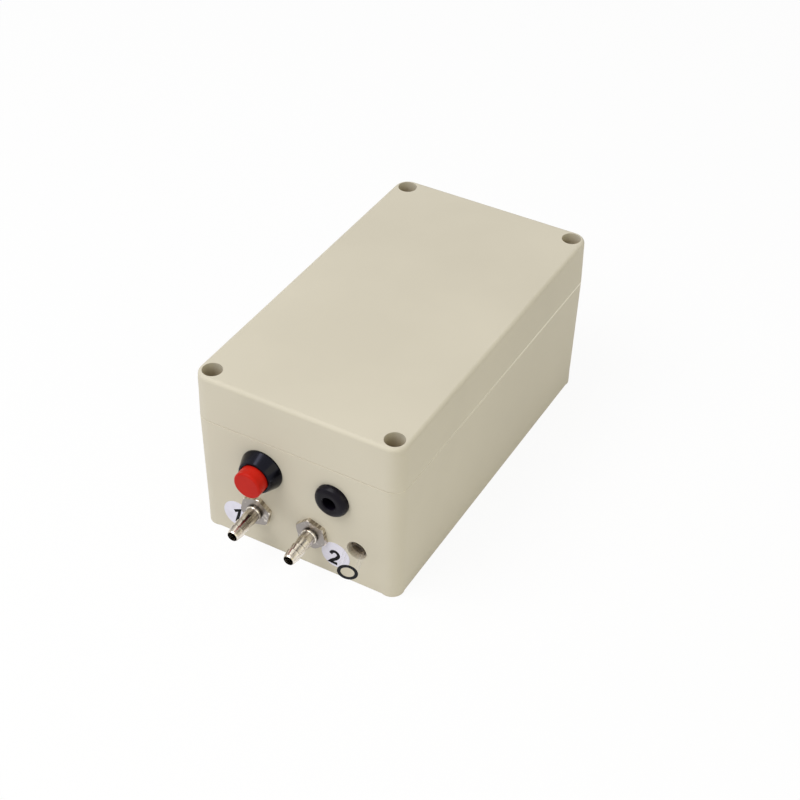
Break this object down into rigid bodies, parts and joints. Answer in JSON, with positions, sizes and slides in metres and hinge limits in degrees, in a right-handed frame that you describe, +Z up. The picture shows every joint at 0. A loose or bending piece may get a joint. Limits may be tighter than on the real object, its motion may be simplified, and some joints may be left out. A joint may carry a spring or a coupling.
{
  "type": "milking vacuum pump",
  "caption": "Small electric milking vacuum pump in a two-part plastic box, with barbed hose fittings, a red push-button, a round power inlet and a clear exhaust tube.",
  "frame": {"origin": "middle of the underside of the box", "axes": "+X to the right seen from the front panel, +Y from the front panel to the back, +Z up"},
  "size_m": [0.09, 0.1768, 0.075],
  "materials": {
    "base_abs": "matte",
    "lid_abs": "matte",
    "black_plastic": "gloss",
    "red_plastic": "gloss",
    "phenolic": "matte",
    "nylon": "satin",
    "black_nylon": "matte",
    "spring_steel": "satin",
    "zinc_steel": "satin",
    "bright_steel": "polished",
    "motor_steel": "satin",
    "nickel_brass": "polished",
    "brass": "satin",
    "sintered_bronze": "matte",
    "copper": "satin",
    "ferrite": "matte",
    "carbon": "matte",
    "cast_alloy": "satin",
    "rubber": "matte",
    "silicone": "satin",
    "clear_tube": "gloss",
    "paper": "matte",
    "board_green": "satin",
    "board_parts": "satin",
    "foam": "matte",
    "wire_red": "satin"
  },
  "bodies": {
    "case": {"box_base": "base_abs", "box_lid": "lid_abs", "lid_gasket": "rubber", "lid_screws": "zinc_steel", "thread_inserts": "brass", "switch_body": "black_plastic", "switch_nut": "zinc_steel", "switch_spring": "spring_steel", "switch_back": "phenolic", "switch_lugs": "brass", "jack_body": "black_plastic", "jack_nut": "zinc_steel", "jack_pin": "bright_steel", "jack_lug": "brass", "port_1_fitting": "nickel_brass", "port_2_fitting": "nickel_brass", "port_nuts": "nickel_brass", "port_washers": "rubber", "label_1": "paper", "label_2": "paper", "exhaust_tube": "clear_tube", "motor_can": "motor_steel", "motor_end_cap": "black_nylon", "motor_magnets": "ferrite", "motor_bearings": "sintered_bronze", "motor_brushes": "carbon", "motor_terminals": "brass", "motor_screws": "zinc_steel", "diaphragm": "rubber", "crankcase": "black_nylon", "crankcase_cover": "black_nylon", "cover_screws": "zinc_steel", "valve_plate": "nylon", "valve_flaps": "rubber", "pump_head": "black_nylon", "head_screws": "zinc_steel", "foot_grommets": "rubber", "motor_saddle": "rubber", "valve_body": "nylon", "valve_frame": "motor_steel", "valve_bobbin": "nylon", "valve_winding": "copper", "valve_core": "bright_steel", "plunger_spring": "spring_steel", "vent_filter": "foam", "tee_fitting": "nylon", "silicone_hoses": "silicone", "control_board": "board_green", "board_components": "board_parts", "chassis_screws": "zinc_steel", "wiring": "wire_red"},
    "button": {"switch_cap": "red_plastic", "switch_bridge": "copper"},
    "crank": {"motor_shaft": "bright_steel", "motor_armature": "copper", "crank_hub": "cast_alloy", "crank_bearing": "bright_steel"},
    "rod": {"connecting_rod": "nylon", "diaphragm_clamp": "zinc_steel"},
    "plunger": {"valve_plunger": "bright_steel"}
  },
  "joints": [
    {"name": "button_press", "type": "slide", "parent": "case", "child": "button", "axis": [0, 0.9998, 0.0191], "range_m": [0, 0.003], "stiffness_N_per_m": 600, "springref_m": -0.002, "deforming": ["switch_spring"]},
    {"name": "crank_spin", "type": "hinge", "parent": "case", "child": "crank", "pos_m": [0.01675, 0.0264, 0.024], "axis": [1, 0, 0], "continuous": true},
    {"name": "rod_swing", "type": "hinge", "parent": "crank", "child": "rod", "pos_m": [0.01675, 0.0279, 0.024], "axis": [1, 0, 0], "continuous": true, "deforming": ["diaphragm"]},
    {"name": "plunger_lift", "type": "slide", "parent": "case", "child": "plunger", "axis": [0, 1, 0], "range_m": [0, 0.0015], "stiffness_N_per_m": 300, "springref_m": -0.002, "deforming": ["plunger_spring"]}
  ],
  "couplings": [
    {"joint": "rod_swing", "follows": "crank_spin", "ratio": -1}
  ]
}
